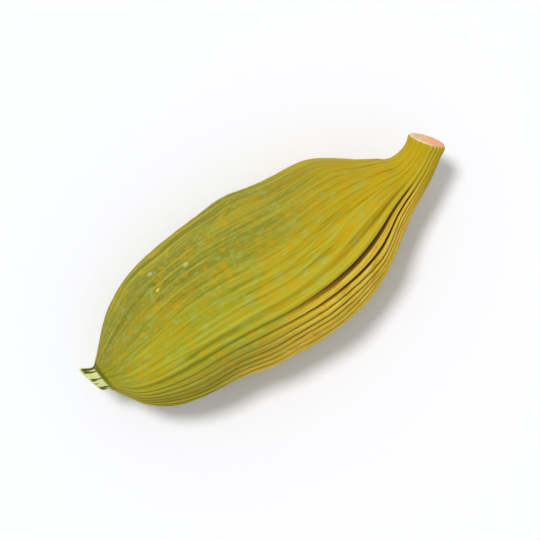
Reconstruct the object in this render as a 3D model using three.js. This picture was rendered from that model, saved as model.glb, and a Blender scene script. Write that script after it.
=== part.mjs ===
// A dried green cardamom pod lying on its side, life size, in millimetres.
// X runs along the pod, with the cut stalk toward +X and the beak toward -X, and Z is up.
// The origin is on the surface that the pod lies on, under the middle of its outline.
// The pod is one grown piece: a three-sided ribbed husk that ends in a beak and a stalk stub.
import * as THREE from 'three';

// Length from the beak's tip to the middle of the cut stalk
const POD_LENGTH = 18.5;
// Height of a cross section as a share of its width: the dried beak is pinched flatter
const HEIGHT_SHARE = 0.93;
const BEAK_HEIGHT_SHARE = 0.65;
const PINCHED_TO = 0.5;
const UNPINCHED_FROM = 1.8;

// Lengthwise profile: distance from the beak's tip along the pod, and half-width there.
// The beak is a short tube with a hollow tip, where the dried flower broke off.
const BEAK_PROFILE = [[0.42, 0], [0.38, 0.24], [0.12, 0.44], [0.04, 0.58], [0.14, 0.71], [0.52, 0.65]];
const HUSK_PROFILE = [[0.86, 1.02], [1.6, 1.9], [2.6, 2.61], [4.2, 3.17], [6.6, 3.55], [9.5, 3.73],
  [12, 3.46], [13.9, 2.9], [15.6, 1.8], [16.7, 1.16]];
// The stalk stub ends in a cut face with a raised rim round a shallow pit
const STALK_PROFILE = [[17.4, 0.94], [18.1, 0.83], [POD_LENGTH - 0.08, 0.86], [POD_LENGTH, 0.77],
  [POD_LENGTH - 0.06, 0.52], [POD_LENGTH - 0.2, 0.26], [POD_LENGTH - 0.24, 0]];
// Distance between cross sections, which grows with the half-width
const LEAST_SPACING = 0.16;
const SPACING_SHARE = 0.125;

// Centre line: a slight S over the husk, a beak set off to the left with its rim tilted the
// other way, and a stalk that hooks to the left and up
const SWAY = 0.27;
const SWAY_RUN = 15;
const SWAY_CENTRE = 8.4;
const BEAK_OFFSET = 0.52;
const BEAK_TILT = 0.25;
const BEAK_RUN = 1.6;
const HOOK_RUN = 2.3;
const HOOK_LEFT = 0.86;
const HOOK_UP = 0.42;

// Cross section: a rounded triangle. Its angles run from +Y (left) round to +Z (up).
const RIDGE_ANGLE = THREE.MathUtils.degToRad(111);
const RIDGE_TWIST = THREE.MathUtils.degToRad(-4);
const TWIST_FROM = 12;
const TWIST_TO = 16;
// The other two ridges sit lower than in an even triangle, so that it lies on its third face
const RIDGE_LEAN = THREE.MathUtils.degToRad(15);
const TRIANGLE_SHARE = 0.09;
const CORNER_SHARE = 0.025;
// Thin ends are round, and the section is fully three-sided from the second half-width on
const ROUND_HALF_WIDTH = 0.8;
const THREE_SIDED_HALF_WIDTH = 2.4;

// Ribs, which run from end to end and fade on the beak and the stalk
const RIB_COUNT = 36;
const FACETS_PER_RIB = 3;
// The ribs by the top ridge are closer together than their average by this share of their
// angle, and spread apart again toward the stalk, where the husk tapers
const RIB_CROWDING = 0.25;
const SPREAD_SHARE = 0.6;
const SPREAD_REACH = THREE.MathUtils.degToRad(50);
const SPREAD_FROM = 10;
const SPREAD_TO = 15;
const RIB_HEIGHT = 0.038;
// They are stronger and weaker by turns, in groups that wind slowly round the pod
const RIB_UNEVENNESS = 0.35;
const RIB_GROUPS = 7;
const RIB_WANDER = 0.31;
const END_RIB_SHARE = 0.3;
// The broad face on the left of the top ridge is the smoothest one
const CALM_SHARE = 0.7;
const CALM_ANGLE = THREE.MathUtils.degToRad(-52);
const CALM_REACH = THREE.MathUtils.degToRad(50);
// On the face beside the top ridge the husk has shrunk into deep furrows toward the stalk
const FURROW_DEPTH = 0.22;
const FURROW_RIB = 1;
const FURROW_REACH = 1.3;
const FURROW_FROM = 5;
const FURROW_TO = 12;
// Low swellings over the seeds, all round the husk
const SWELL_HEIGHT = 0.045;
const SWELL_LENGTH = 3.3;
// Two seeds push the left edge out: their distance along, and how far they push it
const EDGE_SEEDS = [[9.55, 0.25], [13.3, 0.14]];
const EDGE_SEED_LENGTH = 1.2;
const EDGE_SEED_ANGLE = THREE.MathUtils.degToRad(-108);
const EDGE_SEED_REACH = THREE.MathUtils.degToRad(30);

// How much of the underside is lost in the flat spot that the pod rests on
const FLAT_DEPTH = 0.26;

const HUSK_COLOUR = 0x9c992b;

const FULL_TURN = 2 * Math.PI;
const { smoothstep } = THREE.MathUtils;

// Middle of the cross section at a distance along the pod, with the directions left and up
function centreLine(along) {
  const swayTurn = THREE.MathUtils.clamp((along - SWAY_CENTRE) / SWAY_RUN, -0.5, 0.5) * FULL_TURN;
  const sway = -SWAY * Math.sin(swayTurn) * (1 + Math.cos(swayTurn)) / 2;
  const beak = Math.max(0, 1 - along / BEAK_RUN) ** 2;
  const hook = Math.max(0, (along - POD_LENGTH) / HOOK_RUN + 1);
  const middle = new THREE.Vector3(
    along,
    sway + BEAK_OFFSET * beak + HOOK_LEFT * hook ** 2,
    HOOK_UP * hook ** 2,
  );
  const slope = 2 * hook / HOOK_RUN;
  const facing = new THREE.Vector3(1, BEAK_TILT * beak + HOOK_LEFT * slope, HOOK_UP * slope);
  facing.normalize();
  const left = new THREE.Vector3(-facing.y, facing.x, 0).normalize();
  const up = new THREE.Vector3().crossVectors(facing, left);
  return { middle, left, up };
}

// Angle of the top ridge, which turns toward the middle as it nears the stalk
function ridgeAngle(along) {
  return RIDGE_ANGLE + RIDGE_TWIST * smoothstep(along, TWIST_FROM, TWIST_TO);
}

// A bell curve: 1 at the centre, and about a third at one reach from it
function bell(value, centre, reach) {
  return Math.exp(-(((value - centre) / reach) ** 2));
}

// Places round the pod where a cross section has its points, counted in ribs from the top
// ridge, and their angles from it
function ribPlaces(along) {
  const spread = SPREAD_SHARE * smoothstep(along, SPREAD_FROM, SPREAD_TO);
  return Array.from({ length: RIB_COUNT * FACETS_PER_RIB }, (_, facet) => {
    const rib = facet / FACETS_PER_RIB - RIB_COUNT / 2;
    const turn = FULL_TURN * rib / RIB_COUNT;
    const spreadTurn = spread * turn * bell(turn, 0, SPREAD_REACH);
    return { rib, fromRidge: turn - RIB_CROWDING * Math.sin(turn) + spreadTurn };
  });
}

// Radius of the smooth rounded triangle for an angle measured from the top ridge
function huskRadius(fromRidge, half) {
  const threeSided = smoothstep(half, ROUND_HALF_WIDTH, THREE_SIDED_HALF_WIDTH);
  const lobe = 3 * (fromRidge + RIDGE_LEAN * (1 - Math.cos(fromRidge)) / 2);
  const triangle = TRIANGLE_SHARE * Math.cos(lobe) + CORNER_SHARE * Math.cos(2 * lobe);
  return half * (1 + threeSided * triangle);
}

// Height of ribs, furrows and seed swellings over that smooth shape. The ribs are counted
// from the top ridge, 0 being the one on it.
function relief(rib, fromRidge, along, half) {
  const onHusk = smoothstep(half, ROUND_HALF_WIDTH, THREE_SIDED_HALF_WIDTH);
  const wave = Math.cos(FULL_TURN * rib);
  const uneven = 1 + RIB_UNEVENNESS * Math.sin(RIB_GROUPS * fromRidge + RIB_WANDER * along);
  const calm = 1 - CALM_SHARE * bell(fromRidge, CALM_ANGLE, CALM_REACH);
  const ribs = RIB_HEIGHT * uneven * calm * wave * THREE.MathUtils.lerp(END_RIB_SHARE, 1, onHusk);

  const besideRidge = bell(rib, FURROW_RIB, FURROW_REACH);
  const furrow = FURROW_DEPTH * besideRidge * smoothstep(along, FURROW_FROM, FURROW_TO) * (1 - wave) / 2;

  let swell = SWELL_HEIGHT * Math.sin(FULL_TURN * along / SWELL_LENGTH) * Math.sin(3 * fromRidge);
  for (const [seed, push] of EDGE_SEEDS) {
    swell += push * bell(along, seed, EDGE_SEED_LENGTH) * bell(fromRidge, EDGE_SEED_ANGLE, EDGE_SEED_REACH);
  }
  return ribs + onHusk * (swell - furrow);
}

// One closed cross section, as points in the order of their angle. Without its relief it
// reaches, seen from above, as far to the left of the centre line as to the right.
function crossSection(along, half) {
  const { middle, left, up } = centreLine(along);
  const ridge = ridgeAngle(along);
  const unpinched = smoothstep(along, PINCHED_TO, UNPINCHED_FROM);
  const heightShare = THREE.MathUtils.lerp(BEAK_HEIGHT_SHARE, HEIGHT_SHARE, unpinched);
  const flatPoint = (fromRidge, height) => {
    const radius = huskRadius(fromRidge, half) + height;
    const angle = ridge + fromRidge;
    return new THREE.Vector2(radius * Math.cos(angle), heightShare * radius * Math.sin(angle));
  };
  const places = ribPlaces(along);
  const smooth = places.map(({ fromRidge }) => flatPoint(fromRidge, 0));
  const aside = new THREE.Box2().setFromPoints(smooth).getCenter(new THREE.Vector2()).x;
  return places.map(({ rib, fromRidge }) => {
    const { x, y } = flatPoint(fromRidge, relief(rib, fromRidge, along, half));
    return middle.clone().addScaledVector(left, x - aside).addScaledVector(up, y);
  });
}

// Cross sections from end to end, without the two pit bottoms, where the half-width is nil
function crossSections() {
  const outline = [...BEAK_PROFILE, ...HUSK_PROFILE, ...STALK_PROFILE];
  const points = outline.map(([along, half]) => new THREE.Vector3(along, half, 0));
  const curve = new THREE.CatmullRomCurve3(points, false, 'centripetal');
  const sections = [];
  for (let step = 0; step + 1 < points.length; step += 1) {
    const spacing = LEAST_SPACING + SPACING_SHARE * (points[step].y + points[step + 1].y) / 2;
    const count = Math.max(1, Math.round(points[step].distanceTo(points[step + 1]) / spacing));
    for (let i = 0; i < count; i += 1) {
      const { x, y } = curve.getPoint((step + i / count) / (points.length - 1));
      if (y > 0) sections.push(crossSection(x, y));
    }
  }
  return sections;
}

// Lowers the pod onto z = 0 with its flat spot, and centres its outline over the origin
function settle(vertices) {
  const box = new THREE.Box3().setFromPoints(vertices);
  const centre = box.getCenter(new THREE.Vector3());
  vertices.forEach((vertex) => {
    vertex.x -= centre.x;
    vertex.y -= centre.y;
    vertex.z = Math.max(0, vertex.z - box.min.z - FLAT_DEPTH);
  });
}

// Skin through all the cross sections, closed by a point at the bottom of each end's pit
function podGeometry() {
  const sections = crossSections();
  const beakPit = centreLine(BEAK_PROFILE.at(0)[0]).middle;
  const stalkPit = centreLine(STALK_PROFILE.at(-1)[0]).middle;
  const vertices = [beakPit, ...sections.flat(), stalkPit];
  settle(vertices);

  const facets = sections[0].length;
  const corner = (section, facet) => 1 + section * facets + (facet % facets);
  const lastSection = sections.length - 1;
  const lastVertex = vertices.length - 1;
  const triangles = [];
  for (let facet = 0; facet < facets; facet += 1) {
    triangles.push(0, corner(0, facet + 1), corner(0, facet));
    for (let section = 0; section < lastSection; section += 1) {
      const a = corner(section, facet);
      const b = corner(section, facet + 1);
      const c = corner(section + 1, facet + 1);
      const d = corner(section + 1, facet);
      triangles.push(a, b, c, a, c, d);
    }
    triangles.push(corner(lastSection, facet), corner(lastSection, facet + 1), lastVertex);
  }

  const geometry = new THREE.BufferGeometry().setFromPoints(vertices);
  geometry.setIndex(triangles);
  geometry.computeVertexNormals();
  return geometry;
}

const pod = new THREE.Mesh(
  podGeometry(),
  new THREE.MeshStandardMaterial({ color: HUSK_COLOUR, roughness: 0.72, metalness: 0 }),
);
pod.name = 'pod';

const model = new THREE.Group();
model.add(pod);

export default model;
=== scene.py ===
# A dried green cardamom pod on a pale surface, seen from straight above. The husk's form is
# worked out in millimetres from the same sizes as the solid that it stands for. Ribs, veins,
# wrinkles and fibres are then added at their real scale.
import math

import bpy
import numpy as np
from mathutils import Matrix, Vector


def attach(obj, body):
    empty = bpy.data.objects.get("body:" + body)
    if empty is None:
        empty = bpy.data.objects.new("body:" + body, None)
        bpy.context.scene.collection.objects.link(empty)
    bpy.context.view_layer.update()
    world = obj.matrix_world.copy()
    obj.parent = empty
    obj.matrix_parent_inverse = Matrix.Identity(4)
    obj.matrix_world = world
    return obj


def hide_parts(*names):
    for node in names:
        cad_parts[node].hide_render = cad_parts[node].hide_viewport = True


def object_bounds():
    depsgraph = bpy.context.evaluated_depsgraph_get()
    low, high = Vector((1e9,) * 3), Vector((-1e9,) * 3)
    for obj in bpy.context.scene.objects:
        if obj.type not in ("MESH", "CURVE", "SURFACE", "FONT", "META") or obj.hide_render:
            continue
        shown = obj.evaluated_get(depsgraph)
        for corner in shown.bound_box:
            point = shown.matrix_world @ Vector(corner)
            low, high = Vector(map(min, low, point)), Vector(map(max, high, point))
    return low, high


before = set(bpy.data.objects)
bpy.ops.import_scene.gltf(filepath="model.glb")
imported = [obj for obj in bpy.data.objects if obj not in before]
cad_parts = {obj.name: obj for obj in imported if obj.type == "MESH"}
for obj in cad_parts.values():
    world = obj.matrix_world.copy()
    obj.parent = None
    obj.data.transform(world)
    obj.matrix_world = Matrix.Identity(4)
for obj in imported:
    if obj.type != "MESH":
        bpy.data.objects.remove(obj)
CAD_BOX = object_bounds()

MM = 0.001
FULL_TURN = 2 * math.pi

# The pod's lengthwise profile: distance from the beak's tip, and half-width there, in mm. It
# starts at the bottom of the beak's hollow and ends at the bottom of the pit in the cut stalk.
POD_LENGTH = 18.5
BEAK_PROFILE = [(0.42, 0), (0.38, 0.24), (0.12, 0.44), (0.04, 0.58), (0.14, 0.71), (0.52, 0.65)]
HUSK_PROFILE = [
    (0.86, 1.02), (1.6, 1.9), (2.6, 2.61), (4.2, 3.17), (6.6, 3.55), (9.5, 3.73),
    (12, 3.46), (13.9, 2.9), (15.6, 1.8), (16.7, 1.16),
]
STALK_PROFILE = [
    (17.4, 0.94), (18.1, 0.83), (POD_LENGTH - 0.08, 0.86), (POD_LENGTH, 0.77),
    (POD_LENGTH - 0.06, 0.52), (POD_LENGTH - 0.2, 0.26), (POD_LENGTH - 0.24, 0),
]
PROFILE = BEAK_PROFILE + HUSK_PROFILE + STALK_PROFILE
# Distance between cross sections, which grows with the half-width
LEAST_SPACING = 0.065
SPACING_SHARE = 0.023

# Height of a cross section as a share of its width: the dried beak is pinched flatter
HEIGHT_SHARE = 0.93
BEAK_HEIGHT_SHARE = 0.65
PINCHED_TO, UNPINCHED_FROM = 0.5, 1.8

# Centre line: a slight S over the husk, a beak set off to the left with its rim tilted the
# other way, and a stalk that hooks to the left and up
SWAY = 0.27
SWAY_RUN = 15
SWAY_CENTRE = 8.4
BEAK_OFFSET = 0.52
BEAK_TILT = 0.25
BEAK_RUN = 1.6
HOOK_RUN = 2.3
HOOK_LEFT = 0.86
HOOK_UP = 0.42

# Cross section: a rounded triangle, its top ridge turning toward the middle near the stalk.
# The other two ridges sit lower than in an even triangle, so that it lies on its third face.
RIDGE_ANGLE = math.radians(111)
RIDGE_TWIST = math.radians(-4)
TWIST_FROM, TWIST_TO = 12, 16
RIDGE_LEAN = math.radians(15)
TRIANGLE_SHARE = 0.09
CORNER_SHARE = 0.025
ROUND_HALF_WIDTH = 0.8
THREE_SIDED_HALF_WIDTH = 2.4

# Ribs, closest together by the top ridge, where they spread out again toward the stalk, and
# calmest on the broad face to its left. The furrows are on the face to its right.
RIB_COUNT = 36
FACETS_PER_RIB = 14
RIB_CROWDING = 0.25
SPREAD_SHARE = 0.6
SPREAD_REACH = math.radians(50)
SPREAD_FROM, SPREAD_TO = 10, 15
RIB_HEIGHT = 0.038
RIB_UNEVENNESS = 0.35
RIB_GROUPS = 7
RIB_WANDER = 0.31
END_RIB_SHARE = 0.3
CALM_SHARE = 0.7
CALM_ANGLE = math.radians(-52)
CALM_REACH = math.radians(50)
FURROW_DEPTH = 0.22
FURROW_RIB = 1
FURROW_REACH = 1.3
FURROW_FROM, FURROW_TO = 5, 12
# Low swellings over the seeds, and single seeds at the left and right edges: distance along,
# length and how far they push the edge out, in mm. A push below nil is a dip between seeds.
SWELL_HEIGHT = 0.045
SWELL_LENGTH = 3.3
LEFT_EDGE_SEEDS = [(3.9, 1.6, 0.16), (9.55, 1.2, 0.25), (13.3, 1.2, 0.14)]
RIGHT_EDGE_SEEDS = [(5.6, 0.9, -0.1), (7.25, 0.9, 0.2)]
LEFT_EDGE = math.radians(-108)
RIGHT_EDGE = math.radians(82)
EDGE_SEED_REACH = math.radians(30)
# How much of the underside is lost in the flat spot that the pod rests on
FLAT_DEPTH = 0.26

FACETS = RIB_COUNT * FACETS_PER_RIB
# All relief fades toward the bottoms of the two pits, from this half-width inward
PIT_HALF_WIDTH = 0.5

# Away from the top ridge the ribs stray sideways, by about this angle of their own wave, and
# differ in height
RIB_STRAY = 1.6
RIB_VARIETY = 0.6
# Thin veins or narrow grooves, which rise and fall this sharply, about a level of their own
RIB_SHARPNESS = 2.2
RIB_MIDDLE = 0.7
FURROW_SHARPNESS = 3
# The face with grooves, from its start at the top ridge to its end, as angles from the ridge
SIDE_START = (-0.05, 0.1)
SIDE_END = (2.1, 1.6)

# Finer relief in mm
PUCKER_HEIGHT = 0.02
WRINKLE_HEIGHT = 0.012
FIBRE_HEIGHT = 0.014
END_FIBRE_SHARE = 0.3
BUMP_HEIGHT = 0.03
# The beak's ragged rim: its height, how much of it is lost, and where it is, by the distance
# along and the half-width
RAGGED_HEIGHT = 0.1
RAGGED_LOSS = 0.2
RAGGED_ALONG = (0.7, 0.3)
RAGGED_HALF_WIDTH = (0.3, 0.6)
# Radius of the straightened husk that the fibres are laid out on
GRAIN_RADIUS = 3.7

# Colours
OLIVE = "#a09d1c"
# Grey-green of the left side, darker than the husk's own tone as painted shade where it turns away
# from the light
GREY_GREEN_AND_SHADE = "#868527"
# Deep green of patches and fibres, also used as painted shade in the rib grooves
DEEP_GREEN_AND_SHADE = "#5f6212"
PALE_GREEN = "#a6af56"
# Light olive of fibres and veins, also used as a painted highlight on the rib crests
LIGHT_OLIVE_AND_HIGHLIGHT = "#bdb93a"
STRAW = "#f6dd66"
GOLD = "#c8a600"
AMBER = "#c69c12"
RUST = "#b9821a"
SIDE_OLIVE = "#a09220"
RIDGE_YELLOW = "#d4c030"
# Tan of the furrowed face, made brighter than its own colour as painted light, to offset the shade
# this face lies in
TAN_WITH_PAINTED_LIGHT = "#eeca42"
# Brown of the furrows, darkened further as painted shade in the grooves
FURROW_BROWN_AND_SHADE = "#402508"
SCAR_PINK = "#d79a62"
CUT_CREAM = "#f8dcae"
CUT_PINK = "#efb48c"
BEAK_GREEN = "#dfe6a2"
# Dark green of the beak's stripes, also used as painted shade in its groove and hollow
GROOVE_GREEN_AND_SHADE = "#565c14"
FLOOR_WHITE = "#f8f9ff"

# Where a colour comes in, in mm along: gold on the whole husk, later on its left side, tan on
# the furrowed face, sooner away from the top ridge, and brown in the furrows. The tan and the
# brown fade again on the stalk.
GOLD_START = (6, 15)
GOLD_SLANT = -3
TAN_START = (7.5, 12.5)
TAN_SLANT = 4
BROWN_START = (8, 13)
STALK_FADE = (17.3, 16.2)
# The tan face's two edges, and half the ridge line's width, as angles from the top ridge
TAN_TOP = (0.02, 0.1)
TAN_BOTTOM = (1.9, 1.3)
RIDGE_LINE = (0.045, 0.015)
# The beak's pale rim, its wall, the dark groove round its foot and its hollow, by distance
# along in mm, and the hollow's and the stalk's cut face's edge, by half-width
RIM_END = (0.16, 0.08)
WALL_END = (0.62, 0.5)
GROOVE_START = (0.5, 0.62)
GROOVE_END = (0.86, 0.68)
HOLLOW_END = (1, 0.7)
HOLLOW_EDGE = (0.52, 0.4)
CUT_START = (POD_LENGTH - 0.32, POD_LENGTH - 0.28)
CUT_EDGE = (0.84, 0.81)
# The cut face's grain, in cells a metre
CUT_GRAIN = 4500

# Blemishes: distance along in mm, angle from the top ridge, half-length and half-width in mm
TAN_SPECKS = [(4.9, -64, 0.1, 0.1), (10.6, 148, 0.14, 0.1), (6.2, 96, 0.1, 0.12)]
SCARS = [
    (15.75, -84, 0.4, 0.14), (16.35, -70, 0.3, 0.12), (13.4, 62, 0.3, 0.2), (0.2, 62, 0.15, 0.9),
]
PALE_SPECKS = [(4.95, -86, 0.14, 0.14), (6.55, -66, 0.16, 0.12), (3.1, -80, 0.12, 0.1)]
# A blemish's ragged edge: how strong its noise is, and where the colour comes in, as the
# square of the distance from the middle
BLEMISH_NOISE = 1.2
BLEMISH_EDGE = (1.9, 0.9)


def smoothstep(value, low, high):
    """A smooth step from 0 at low to 1 at high, whichever of the two is greater."""
    share = np.clip((value - low) / (high - low), 0, 1)
    return share * share * (3 - 2 * share)


def bell(value, centre, reach):
    """A bell curve: 1 at the centre, and about a third at one reach from it."""
    return np.exp(-((value - centre) / reach) ** 2)


def profile_point(step):
    """Centripetal Catmull-Rom curve through PROFILE. Step 2.5 is half-way from point 2 to 3."""
    points = np.array(PROFILE, float)
    points = np.vstack([2 * points[0] - points[1], points, 2 * points[-1] - points[-2]])
    index = min(int(step), len(PROFILE) - 2)
    share = step - index
    before, start, end, after = points[index:index + 4]
    gap_before, gap, gap_after = (
        math.sqrt(np.linalg.norm(b - a)) for a, b in ((before, start), (start, end), (end, after)))
    leave = gap * (
        (start - before) / gap_before - (end - before) / (gap_before + gap) + (end - start) / gap)
    arrive = gap * (
        (end - start) / gap - (after - start) / (gap + gap_after) + (after - end) / gap_after)
    return (
        start + leave * share
        + (3 * (end - start) - 2 * leave - arrive) * share ** 2
        + (2 * (start - end) + leave + arrive) * share ** 3)


def stations():
    """Distance along, half-width and distance over the surface, for every cross section."""
    rows = []
    for index, (start, end) in enumerate(zip(PROFILE, PROFILE[1:])):
        spacing = LEAST_SPACING + SPACING_SHARE * (start[1] + end[1]) / 2
        count = max(1, round(math.dist(start, end) / spacing))
        rows += [profile_point(index + i / count) for i in range(count)]
    # The bottom of the beak's hollow is a point, not a cross section
    rows = np.array(rows[1:])
    steps = np.linalg.norm(np.diff(rows, axis=0), axis=1)
    run = np.concatenate([[0], np.cumsum(steps)])
    return rows[:, 0], rows[:, 1], run


def centre_line(along):
    """Middle of the cross section at each distance along the pod, and its left and up."""
    sway_turn = np.clip((along - SWAY_CENTRE) / SWAY_RUN, -0.5, 0.5) * FULL_TURN
    sway = -SWAY * np.sin(sway_turn) * (1 + np.cos(sway_turn)) / 2
    beak = np.maximum(0, 1 - along / BEAK_RUN) ** 2
    hook = np.maximum(0, (along - POD_LENGTH) / HOOK_RUN + 1)
    middle = np.stack(
        [along, sway + BEAK_OFFSET * beak + HOOK_LEFT * hook ** 2, HOOK_UP * hook ** 2], -1)
    slope = 2 * hook / HOOK_RUN
    facing = np.stack(
        [np.ones_like(along), BEAK_TILT * beak + HOOK_LEFT * slope, HOOK_UP * slope], -1)
    facing /= np.linalg.norm(facing, axis=-1, keepdims=True)
    left = np.stack([-facing[..., 1], facing[..., 0], np.zeros_like(along)], -1)
    left /= np.linalg.norm(left, axis=-1, keepdims=True)
    return middle, left, np.cross(facing, left)


def husk_radius(from_ridge, half):
    """Radius of the smooth rounded triangle for an angle measured from the top ridge."""
    three_sided = smoothstep(half, ROUND_HALF_WIDTH, THREE_SIDED_HALF_WIDTH)
    lobe = 3 * (from_ridge + RIDGE_LEAN * (1 - np.cos(from_ridge)) / 2)
    triangle = TRIANGLE_SHARE * np.cos(lobe) + CORNER_SHARE * np.cos(2 * lobe)
    return half * (1 + three_sided * triangle)


def soft_noise(from_ridge, run, cells_round, cell_length, seed):
    """Smooth random field over the husk, from -1 to 1, that joins up round the pod.

    Its cells are cell_length mm long, with cells_round of them round the pod.
    """
    cells_along = int(run.max() / cell_length) + 2
    knots = np.random.default_rng(seed).uniform(-1, 1, (cells_round, cells_along + 1))
    across = (from_ridge / FULL_TURN % 1) * cells_round
    down = run / run.max() * (cells_along - 1)
    column = across.astype(int) % cells_round
    row = down.astype(int)
    across = smoothstep(across - np.floor(across), 0, 1)
    down = smoothstep(down - row, 0, 1)
    following = (column + 1) % cells_round
    near = knots[column, row] * (1 - across) + knots[following, row] * across
    far = knots[column, row + 1] * (1 - across) + knots[following, row + 1] * across
    return near * (1 - down) + far * down


def rib_places(along):
    """Places round each section, counted in ribs from the top ridge, and their angles from it."""
    spread = SPREAD_SHARE * smoothstep(along, SPREAD_FROM, SPREAD_TO)
    rib = np.arange(FACETS) / FACETS_PER_RIB - RIB_COUNT / 2
    turn = FULL_TURN * rib / RIB_COUNT
    spread_turn = spread[:, None] * turn * bell(turn, 0, SPREAD_REACH)
    from_ridge = turn - RIB_CROWDING * np.sin(turn) + spread_turn
    return np.broadcast_to(rib, from_ridge.shape), from_ridge


def relief(rib, from_ridge, along, half, run):
    """Height in mm over the smooth husk, and the fields that its colours follow."""
    def noise(cells_round, cell_length, seed):
        return soft_noise(from_ridge, run, cells_round, cell_length, seed)

    on_husk = smoothstep(half, ROUND_HALF_WIDTH, THREE_SIDED_HALF_WIDTH)
    # The ribs beside the top ridge run true, and the others stray and swell
    beside_ridge = bell(rib, FURROW_RIB, FURROW_REACH)
    free = 1 - beside_ridge
    stray = RIB_STRAY * on_husk * (noise(9, 5, seed=1) + 0.4 * noise(24, 2.5, seed=2))
    wave = np.cos(FULL_TURN * rib + stray * free)
    uneven = 1 + RIB_UNEVENNESS * np.sin(RIB_GROUPS * from_ridge + RIB_WANDER * along)
    uneven = uneven * (1 + RIB_VARIETY * noise(RIB_COUNT, 4, seed=9) * free)
    calm = 1 - CALM_SHARE * bell(from_ridge, CALM_ANGLE, CALM_REACH)
    end_share = END_RIB_SHARE + (1 - END_RIB_SHARE) * on_husk
    # Broad ribs with narrow grooves on the face right of the top ridge, and thin raised
    # veins on the rest
    side = smoothstep(from_ridge, *SIDE_START) * smoothstep(from_ridge, *SIDE_END)
    vein = 2 * ((1 + wave) / 2) ** RIB_SHARPNESS - RIB_MIDDLE
    broad = RIB_MIDDLE - 2 * ((1 - wave) / 2) ** RIB_SHARPNESS
    rib_shape = uneven * calm * (vein * (1 - side) + broad * side)
    ribs = RIB_HEIGHT * rib_shape * end_share
    shrunk = smoothstep(along, FURROW_FROM, FURROW_TO)
    furrow = beside_ridge * shrunk * ((1 - wave) / 2) ** FURROW_SHARPNESS
    swell = SWELL_HEIGHT * np.sin(FULL_TURN * along / SWELL_LENGTH) * np.sin(3 * from_ridge)
    for edge, seeds in ((LEFT_EDGE, LEFT_EDGE_SEEDS), (RIGHT_EDGE, RIGHT_EDGE_SEEDS)):
        for seed, length, push in seeds:
            place = bell(along, seed, length) * bell(from_ridge, edge, EDGE_SEED_REACH)
            swell = swell + push * place

    puckers = PUCKER_HEIGHT * (noise(11, 2.6, seed=5) + 0.5 * noise(30, 1.4, seed=6))
    wrinkles = WRINKLE_HEIGHT * noise(40, 0.3, seed=7)
    fibres = FIBRE_HEIGHT * (noise(110, 5, seed=8) + 0.6 * noise(190, 2, seed=11))
    height = ribs + on_husk * (swell - FURROW_DEPTH * furrow + puckers)
    fibre_share = END_FIBRE_SHARE + (1 - END_FIBRE_SHARE) * on_husk
    height = height + fibre_share * (wrinkles + fibres)

    at_rim = smoothstep(along, *RAGGED_ALONG) * smoothstep(half, *RAGGED_HALF_WIDTH)
    height = height + RAGGED_HEIGHT * at_rim * (noise(11, 0.5, seed=10) - RAGGED_LOSS)
    return height, {"rib": rib_shape, "furrow": furrow}


def husk_points():
    """The husk's points in mm, one row for each cross section, and fields for the colours."""
    along, half, run = stations()
    rib, from_ridge = rib_places(along)
    along = np.repeat(along[:, None], FACETS, 1)
    angle = RIDGE_ANGLE + RIDGE_TWIST * smoothstep(along, TWIST_FROM, TWIST_TO) + from_ridge
    half = np.repeat(half[:, None], FACETS, 1)
    run = np.repeat(run[:, None], FACETS, 1)
    smooth = husk_radius(from_ridge, half)
    height, fields = relief(rib, from_ridge, along, half, run)
    radius = smooth + height * np.minimum(1, half / PIT_HALF_WIDTH)
    unpinched = smoothstep(along, PINCHED_TO, UNPINCHED_FROM)
    height_share = BEAK_HEIGHT_SHARE + (HEIGHT_SHARE - BEAK_HEIGHT_SHARE) * unpinched
    smooth_across = smooth * np.cos(angle)
    aside = (smooth_across.min(1) + smooth_across.max(1))[:, None] / 2
    across = radius * np.cos(angle) - aside
    rise = height_share * radius * np.sin(angle)
    middle, left, up = centre_line(along)
    points = middle + across[..., None] * left + rise[..., None] * up
    fields |= {"along": along, "half": half}
    return points, fields, from_ridge, run


def settle(points):
    """Lowers the pod onto z = 0 with its flat spot, over the CAD solid's own place."""
    low, high = (np.array(corner) / MM for corner in CAD_BOX)
    flat = points.reshape(-1, 3)
    centre = (flat.min(0) + flat.max(0)) / 2
    place = (low + high) / 2 - centre
    place[2] = -flat[:, 2].min() - FLAT_DEPTH
    settled = points + place
    settled[..., 2] = np.maximum(settled[..., 2], 0)
    return settled


def make_husk():
    points, fields, from_ridge, run = husk_points()
    points = settle(points)
    rows = len(points)
    beak_pit = points[0].mean(0)
    stalk_pit = points[-1].mean(0)
    vertices = np.vstack([points.reshape(-1, 3), beak_pit, stalk_pit]) * MM

    ring = np.arange(FACETS)
    following = (ring + 1) % FACETS
    starts = np.arange(rows - 1)[:, None] * FACETS
    quads = np.stack(
        [starts + ring, starts + following, starts + FACETS + following, starts + FACETS + ring], -1)
    last = (rows - 1) * FACETS
    beak_fan = [(rows * FACETS, int(b), int(a)) for a, b in zip(ring, following)]
    stalk_fan = [(last + int(a), last + int(b), rows * FACETS + 1) for a, b in zip(ring, following)]
    mesh = bpy.data.meshes.new("husk")
    mesh.from_pydata(vertices.tolist(), [], quads.reshape(-1, 4).tolist() + beak_fan + stalk_fan)
    mesh.shade_smooth()

    for name, values in fields.items():
        layer = mesh.attributes.new(name, "FLOAT", "POINT")
        closed = np.concatenate([values.ravel(), [values[0].mean(), values[-1].mean()]])
        layer.data.foreach_set("value", closed.astype(np.float32))
    add_grain(mesh, from_ridge, run)
    add_map(mesh, run[:, 0])
    husk = bpy.data.objects.new("husk", mesh)
    bpy.context.scene.collection.objects.link(husk)
    return husk


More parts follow.
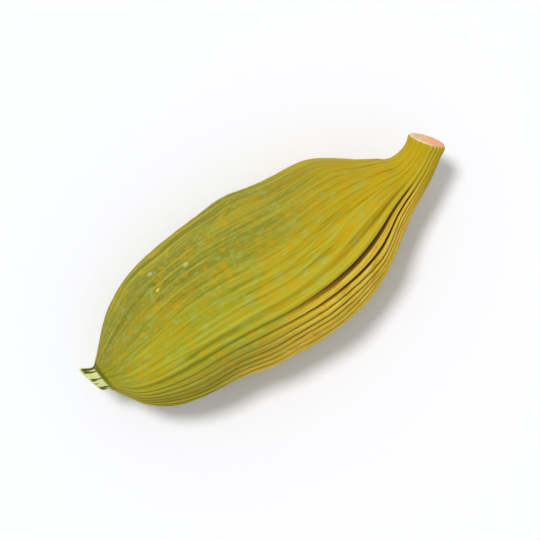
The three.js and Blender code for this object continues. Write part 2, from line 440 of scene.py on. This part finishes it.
def add_grain(mesh, from_ridge, run):
    """A place on the husk in mm, straightened along the ribs, for the fibres to follow."""
    before = GRAIN_RADIUS * np.cos(from_ridge)
    aside = GRAIN_RADIUS * np.sin(from_ridge)
    place = np.stack([run, before, aside], -1).reshape(-1, 3)
    place = np.vstack([place, place[0] * (1, 0, 0), place[-1] * (1, 0, 0)])
    layer = mesh.attributes.new("grain", "FLOAT_VECTOR", "POINT")
    layer.data.foreach_set("vector", place.astype(np.float32).ravel())


def add_map(mesh, run):
    """A flat map of the husk: round the pod from left to right, and from beak to stalk upward."""
    pit = LEAST_SPACING / 2
    height = np.concatenate([[0], run + pit, [run[-1] + 2 * pit]])
    height /= height[-1]
    left = np.arange(FACETS) / FACETS
    right = left + 1 / FACETS
    low, high = height[1:-2, None], height[2:-1, None]
    quads = np.stack([
        np.broadcast_arrays(left, low), np.broadcast_arrays(right, low),
        np.broadcast_arrays(right, high), np.broadcast_arrays(left, high)])
    quads = quads.transpose(2, 3, 0, 1).reshape(-1, 2)
    middle = (left + right) / 2
    ones = np.ones(FACETS)
    beak = np.stack([[middle, 0 * ones], [right, height[1] * ones], [left, height[1] * ones]])
    stalk = np.stack([[left, height[-2] * ones], [right, height[-2] * ones], [middle, ones]])
    fans = [fan.transpose(2, 0, 1).reshape(-1, 2) for fan in (beak, stalk)]
    layer = mesh.uv_layers.new(name="OFBake")
    layer.data.foreach_set("uv", np.vstack([quads, *fans]).astype(np.float32).ravel())


def linear(code):
    """Linear colour of an sRGB hex code."""
    parts = [int(code[i:i + 2], 16) / 255 for i in (1, 3, 5)]
    return (*(p / 12.92 if p <= 0.04045 else ((p + 0.055) / 1.055) ** 2.4 for p in parts), 1)


class Nodes:
    """Builds a material's nodes. A value is a number, a colour or another node's output."""

    def __init__(self, name):
        self.material = bpy.data.materials.new(name)
        self.material.use_nodes = True
        self.tree = self.material.node_tree
        self.shader = self.tree.nodes["Principled BSDF"]

    def put(self, value, socket):
        if isinstance(value, bpy.types.NodeSocket):
            self.tree.links.new(value, socket)
        else:
            socket.default_value = value

    def field(self, name, output="Fac"):
        node = self.tree.nodes.new("ShaderNodeAttribute")
        node.attribute_name = name
        return node.outputs[output]

    def calc(self, operation, *values):
        node = self.tree.nodes.new("ShaderNodeMath")
        node.operation = operation
        for value, socket in zip(values, node.inputs):
            self.put(value, socket)
        return node.outputs[0]

    def times(self, *shares):
        product = shares[0]
        for share in shares[1:]:
            product = self.calc("MULTIPLY", product, share)
        return product

    def ramp(self, value, low, high, start=0.0, end=1.0):
        """A smooth step of value, from start at low to end at high."""
        node = self.tree.nodes.new("ShaderNodeMapRange")
        node.interpolation_type = "SMOOTHSTEP"
        for entry, socket in zip((value, low, high, start, end), node.inputs):
            self.put(entry, socket)
        return node.outputs[0]

    def stretch(self, vector, scale):
        node = self.tree.nodes.new("ShaderNodeMapping")
        self.put(vector, node.inputs["Vector"])
        node.inputs["Scale"].default_value = scale
        return node.outputs[0]

    def noise(self, vector, scale, detail=2.0, roughness=0.5):
        node = self.tree.nodes.new("ShaderNodeTexNoise")
        self.put(vector, node.inputs["Vector"])
        node.inputs["Scale"].default_value = scale
        node.inputs["Detail"].default_value = detail
        node.inputs["Roughness"].default_value = roughness
        return node.outputs["Fac"]

    def mix(self, share, low, high):
        """The colour low where share is 0, and high where it is 1."""
        node = self.tree.nodes.new("ShaderNodeMix")
        node.data_type = "RGBA"
        self.put(share, node.inputs[0])
        self.put(linear(low) if isinstance(low, str) else low, node.inputs[6])
        self.put(linear(high) if isinstance(high, str) else high, node.inputs[7])
        return node.outputs[2]


class HuskNodes(Nodes):
    """The husk's colour in layers, each painted over the last, and its fine bump."""

    def __init__(self):
        super().__init__("husk")
        self.grain = self.field("grain", "Vector")
        self.along = self.field("along")
        self.half = self.field("half")
        self.rib = self.field("rib")
        place = self.tree.nodes.new("ShaderNodeSeparateXYZ")
        self.put(self.grain, place.inputs[0])
        _, before, aside = place.outputs
        self.from_ridge = self.calc("ARCTAN2", aside, before)
        # From 1 on the left of the pod to -1 on its right
        self.to_left = self.calc("MULTIPLY", aside, -1 / GRAIN_RADIUS)
        self.strands = self.streaks(5, 26, 4, 0.75)
        self.colour = linear(OLIVE)

    def streaks(self, scale, stretch, detail=2.0, roughness=0.5):
        """Noise in cells of 1/scale mm round the pod, and stretch times that along it."""
        return self.noise(self.stretch(self.grain, (1 / stretch, 1, 1)), scale, detail, roughness)

    def paint(self, code, *shares):
        """Lays a colour over what is there, as strongly as the shares say together."""
        self.colour = self.mix(self.times(*shares), self.colour, code)

    def ground(self):
        """Grey-green and darker on the left, away from the ridge, partly its own tone and partly
        painted shade; golden by the stalk, with patches and fine mottle.
        """
        # Painted shade as well as a greyer tone: the left side, turning away from the light,
        # darkened to grey-green
        self.paint(GREY_GREEN_AND_SHADE, self.ramp(self.to_left, 0.3, 0.97))
        self.paint(SIDE_OLIVE, self.ramp(self.to_left, -0.05, -0.35))
        self.paint(GOLD, self.ramp(self.streaks(0.6, 2, 3), 0.48, 0.68, 0, 0.4))
        slanted = self.calc("MULTIPLY_ADD", self.to_left, GOLD_SLANT, self.along)
        self.paint(GOLD, self.ramp(slanted, *GOLD_START, 0, 0.95))
        self.paint(DEEP_GREEN_AND_SHADE, self.ramp(self.streaks(0.8, 2, 3), 0.42, 0.28, 0, 0.3))
        mottle = self.streaks(2.4, 1.3, 4, 0.65)
        self.paint(PALE_GREEN, self.ramp(mottle, 0.49, 0.7, 0, 0.6))
        self.paint(AMBER, self.ramp(mottle, 0.5, 0.32, 0, 0.65))
        self.paint(RUST, self.ramp(self.streaks(3, 1.3, 4, 0.7), 0.56, 0.74, 0, 0.22))

    def fibres(self):
        """Long fine fibres, lighter ones and darker ones, and the ribs: painted highlight on their
        crests over the veins' paler colour, and painted shade in their grooves.
        """
        self.paint(DEEP_GREEN_AND_SHADE, self.ramp(self.strands, 0.5, 0.68, 0, 0.5))
        self.paint(LIGHT_OLIVE_AND_HIGHLIGHT, self.ramp(self.strands, 0.49, 0.34, 0, 0.5))
        # Painted highlight on the rib crests, over the veins' own paler colour
        self.paint(LIGHT_OLIVE_AND_HIGHLIGHT, self.ramp(self.rib, 0.1, 1, 0, 0.45))
        # Painted shade in the narrow rib grooves
        self.paint(DEEP_GREEN_AND_SHADE, self.ramp(self.rib, -0.5, -1.2, 0, 0.5))

    def furrowed_face(self):
        """The bright top ridge line, and tan ribs beside it, brightened as painted light against the
        shade this face lies in, with brown furrows that are partly painted shade.
        """
        slanted = self.calc("MULTIPLY_ADD", self.from_ridge, TAN_SLANT, self.along)
        before_stalk = self.ramp(self.along, *STALK_FADE, 0.15, 1)
        side = self.times(
            self.ramp(self.from_ridge, *TAN_TOP), self.ramp(self.from_ridge, *TAN_BOTTOM),
            self.ramp(slanted, *TAN_START), before_stalk)
        # Painted light: the tan is brighter than the face's own tan, to make up for the shade it
        # gets from the lamp
        self.paint(TAN_WITH_PAINTED_LIGHT, side, self.ramp(self.rib, -0.8, 0.4, 0.1, 0.85))
        self.paint(STRAW, side, self.ramp(self.strands, 0.48, 0.34, 0, 0.6))
        self.paint(RUST, side, self.ramp(self.strands, 0.5, 0.66, 0, 0.6))
        self.paint(RUST, side, self.ramp(self.streaks(2.4, 2, 5, 0.7), 0.5, 0.66, 0, 0.5))
        patchy = self.ramp(self.streaks(1.2, 3, 3), 0.4, 0.6, 0.1, 0.6)
        # Painted shade and brown: the grooves between the tan ribs darkened
        self.paint(FURROW_BROWN_AND_SHADE, side, self.ramp(self.rib, -0.3, -1.2), patchy)
        # Painted shade and brown in the deep furrow beside the top ridge
        furrow = self.ramp(self.field("furrow"), 0.1, 0.5)
        self.paint(
            FURROW_BROWN_AND_SHADE, furrow, self.ramp(self.along, *BROWN_START), before_stalk, 0.9)
        from_line = self.calc("ABSOLUTE", self.from_ridge)
        self.paint(
            RIDGE_YELLOW, self.ramp(from_line, *RIDGE_LINE),
            self.ramp(self.along, *GOLD_START, 0, 0.5))

    def ends(self):
        """The stalk stub's cut face, and the beak's pale ribbed wall, with painted shade in the
        groove round its foot and in its pit.
        """
        place = self.tree.nodes.new("ShaderNodeTexCoord").outputs["Object"]
        grain = self.noise(place, CUT_GRAIN, 3)
        to_left = self.calc("MULTIPLY_ADD", self.half, self.to_left, self.times(grain, 0.9))
        cut = self.mix(self.ramp(to_left, 1, 0), CUT_CREAM, CUT_PINK)
        cut = self.mix(self.ramp(grain, 0.5, 0.7, 0, 0.35), cut, RUST)
        cut_face = self.times(self.ramp(self.along, *CUT_START), self.ramp(self.half, *CUT_EDGE))
        self.colour = self.mix(cut_face, self.colour, cut)

        # Painted shade in the groove round the beak's foot
        groove = self.times(
            self.ramp(self.along, *GROOVE_START), self.ramp(self.along, *GROOVE_END))
        self.paint(GROOVE_GREEN_AND_SHADE, groove, self.ramp(self.to_left, -0.6, 0.5, 0.3, 0.75))
        beak = self.mix(self.ramp(self.streaks(0.9, 1, 3), 0.44, 0.54), GROOVE_GREEN_AND_SHADE, BEAK_GREEN)
        beak = self.mix(self.ramp(self.along, *RIM_END), beak, BEAK_GREEN)
        self.colour = self.mix(self.ramp(self.along, *WALL_END, 0, 0.95), self.colour, beak)
        # Painted shade in the beak's hollow
        self.paint(
            GROOVE_GREEN_AND_SHADE, self.ramp(self.half, *HOLLOW_EDGE), self.ramp(self.along, *HOLLOW_END))

    def blemishes(self, code, spots, strength):
        """Oval spots of one colour, each with a ragged edge."""
        ragged = self.times(self.streaks(9, 1), BLEMISH_NOISE)
        for along, angle, half_length, half_width in spots:
            down = self.calc("DIVIDE", self.calc("SUBTRACT", self.along, along), half_length)
            across = self.calc("SUBTRACT", self.from_ridge, math.radians(angle))
            across = self.calc("MULTIPLY", across, GRAIN_RADIUS / half_width)
            away = self.calc("ADD", self.times(down, down), self.times(across, across))
            away = self.calc("ADD", away, ragged)
            self.paint(code, self.ramp(away, *BLEMISH_EDGE, 0, strength))

    def surface(self):
        """Bump of fibres along the pod, and of grit and wrinkles across it, and a dull shine."""
        grit = self.calc("ADD", self.streaks(12, 1.5, 3), self.streaks(4, 0.3, 3, 0.6))
        height = self.calc("ADD", self.times(self.strands, -1), self.times(grit, 0.5))
        bump = self.tree.nodes.new("ShaderNodeBump")
        bump.inputs["Strength"].default_value = 0.8
        bump.inputs["Distance"].default_value = BUMP_HEIGHT * MM
        self.put(height, bump.inputs["Height"])
        self.put(bump.outputs[0], self.shader.inputs["Normal"])
        self.put(self.ramp(self.strands, 0.3, 0.7, 0.7, 0.85), self.shader.inputs["Roughness"])
        self.shader.inputs["Specular IOR Level"].default_value = 0.14
        self.put(self.colour, self.shader.inputs["Base Color"])


def husk_material():
    nodes = HuskNodes()
    nodes.ground()
    nodes.fibres()
    nodes.furrowed_face()
    nodes.ends()
    nodes.blemishes(TAN_WITH_PAINTED_LIGHT, TAN_SPECKS, 0.9)
    nodes.blemishes(SCAR_PINK, SCARS, 0.7)
    nodes.blemishes(BEAK_GREEN, PALE_SPECKS, 0.35)
    nodes.surface()
    return nodes.material


def make_floor():
    reach = 1.5
    mesh = bpy.data.meshes.new("floor")
    corners = [(-reach, -reach, 0), (reach, -reach, 0), (reach, reach, 0), (-reach, reach, 0)]
    mesh.from_pydata(corners, [], [(0, 1, 2, 3)])
    floor = bpy.data.objects.new("floor", mesh)
    bpy.context.scene.collection.objects.link(floor)
    nodes = Nodes("floor")
    nodes.shader.inputs["Base Color"].default_value = linear(FLOOR_WHITE)
    nodes.shader.inputs["Roughness"].default_value = 0.9
    mesh.materials.append(nodes.material)


# The photo's view: straight down, with the stalk 34 degrees above the image's right. It is
# 24 mm wide, seen through a long lens.
VIEW_TURN = math.radians(-34.3)
VIEW_WIDTH = 24
LENS = 150
SENSOR = 36


def make_camera():
    data = bpy.data.cameras.new("camera")
    data.lens = LENS
    data.sensor_width = SENSOR
    data.clip_start = 0.001
    camera = bpy.data.objects.new("camera", data)
    low, high = CAD_BOX
    centre = (low + high) / 2
    distance = VIEW_WIDTH * MM * LENS / SENSOR
    camera.location = (centre.x, centre.y, centre.z + distance)
    camera.rotation_euler = (0, 0, VIEW_TURN)
    bpy.context.scene.collection.objects.link(camera)
    bpy.context.scene.camera = camera


# Soft daylight from the upper left of the view, and an even sky
KEY_FROM = math.radians(135)
KEY_HEIGHT = math.radians(70)
KEY_STRENGTH = 1.8
KEY_SPREAD = math.radians(12)
SKY_STRENGTH = 0.52


def make_light():
    data = bpy.data.lights.new("key", "SUN")
    data.energy = KEY_STRENGTH
    data.angle = KEY_SPREAD
    key = bpy.data.objects.new("key", data)
    key.rotation_euler = (0, math.pi / 2 - KEY_HEIGHT, KEY_FROM + VIEW_TURN)
    bpy.context.scene.collection.objects.link(key)
    world = bpy.data.worlds.new("studio")
    world.use_nodes = True
    background = world.node_tree.nodes["Background"]
    background.inputs["Color"].default_value = (1, 1, 1, 1)
    background.inputs["Strength"].default_value = SKY_STRENGTH
    bpy.context.scene.world = world


husk = make_husk()
husk.data.materials.append(husk_material())
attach(husk, "root")
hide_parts("pod")
make_floor()
make_camera()
make_light()
bpy.context.scene.view_settings.view_transform = "Standard"
